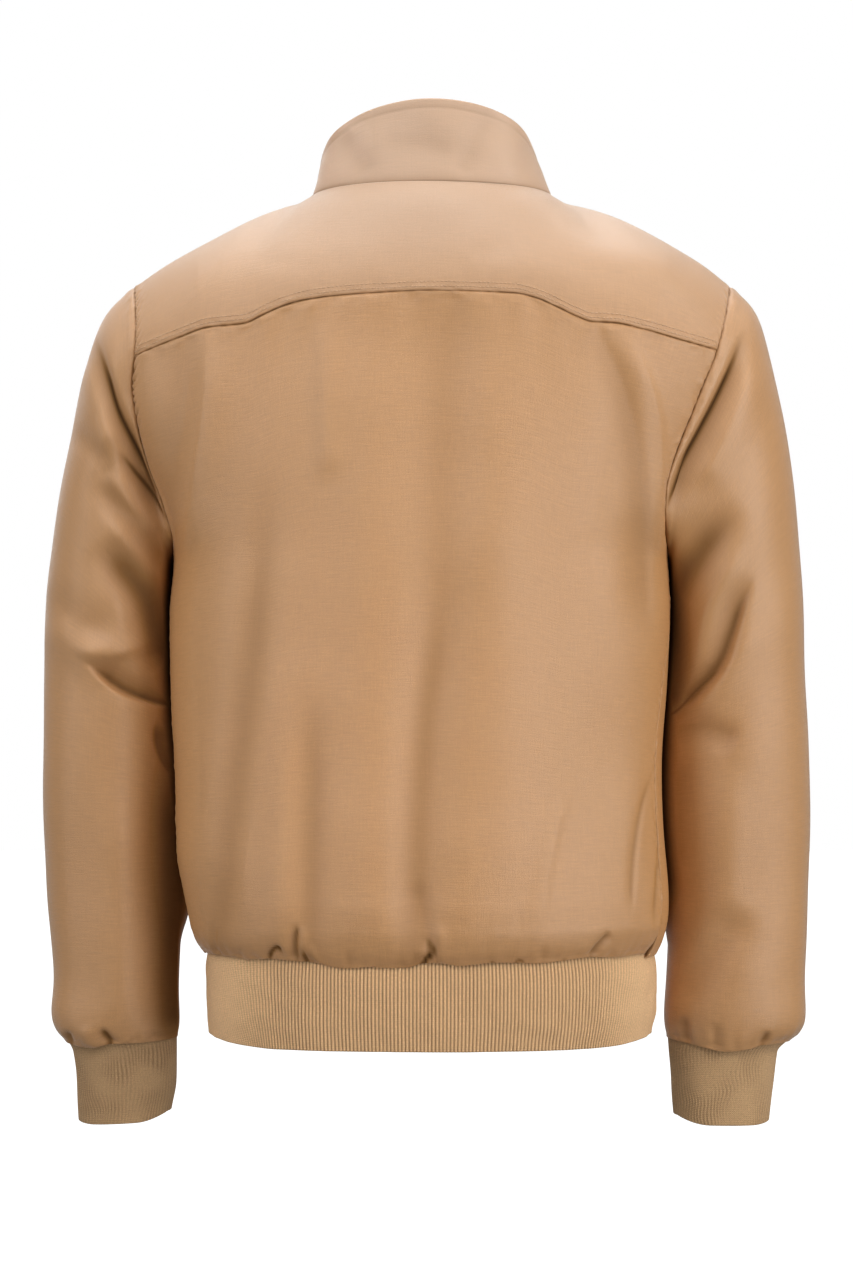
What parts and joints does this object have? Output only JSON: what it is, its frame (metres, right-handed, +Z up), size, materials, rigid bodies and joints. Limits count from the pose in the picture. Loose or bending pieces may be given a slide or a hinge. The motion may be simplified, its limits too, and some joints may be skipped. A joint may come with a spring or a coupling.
{
  "type": "harrington jacket",
  "caption": "Waist-length zip jacket with a tall stand collar, curved back yoke, set-in sleeves and ribbed cuffs and hem, filled out as if worn.",
  "frame": {"origin": "middle of the neck at the height of the nape seam, where the wearer's shoulders carry the jacket", "axes": "+Z up, +Y towards the zip at the front, +X towards the wearer's right; the back faces -Y"},
  "size_m": [0.588, 0.2573, 0.7718],
  "materials": {
    "tan_twill": "smooth tan cotton twill with a soft sheen",
    "tan_rib": "ribbed knit in the same tan",
    "tape_cloth": "woven zip tape",
    "brass": "satin brass"
  },
  "bodies": {
    "jacket": {"back_panel": "tan_twill", "back_yoke": "tan_twill", "front_left": "tan_twill", "front_right": "tan_twill", "sleeve_left": "tan_twill", "sleeve_right": "tan_twill", "collar": "tan_twill", "hem_rib": "tan_rib", "cuff_left": "tan_rib", "cuff_right": "tan_rib", "zip_tape_left": "tape_cloth", "zip_tape_right": "tape_cloth", "zip_chain": "brass", "zip_slider": "brass"},
    "zip_pull": {"zip_pull": "brass"}
  },
  "joints": [
    {"name": "zip_pull_swing", "type": "hinge", "parent": "jacket", "child": "zip_pull", "pos_m": [0, 0.0804, -0.03437], "axis": [1, 0, 0], "range_deg": [-14, 150]}
  ]
}
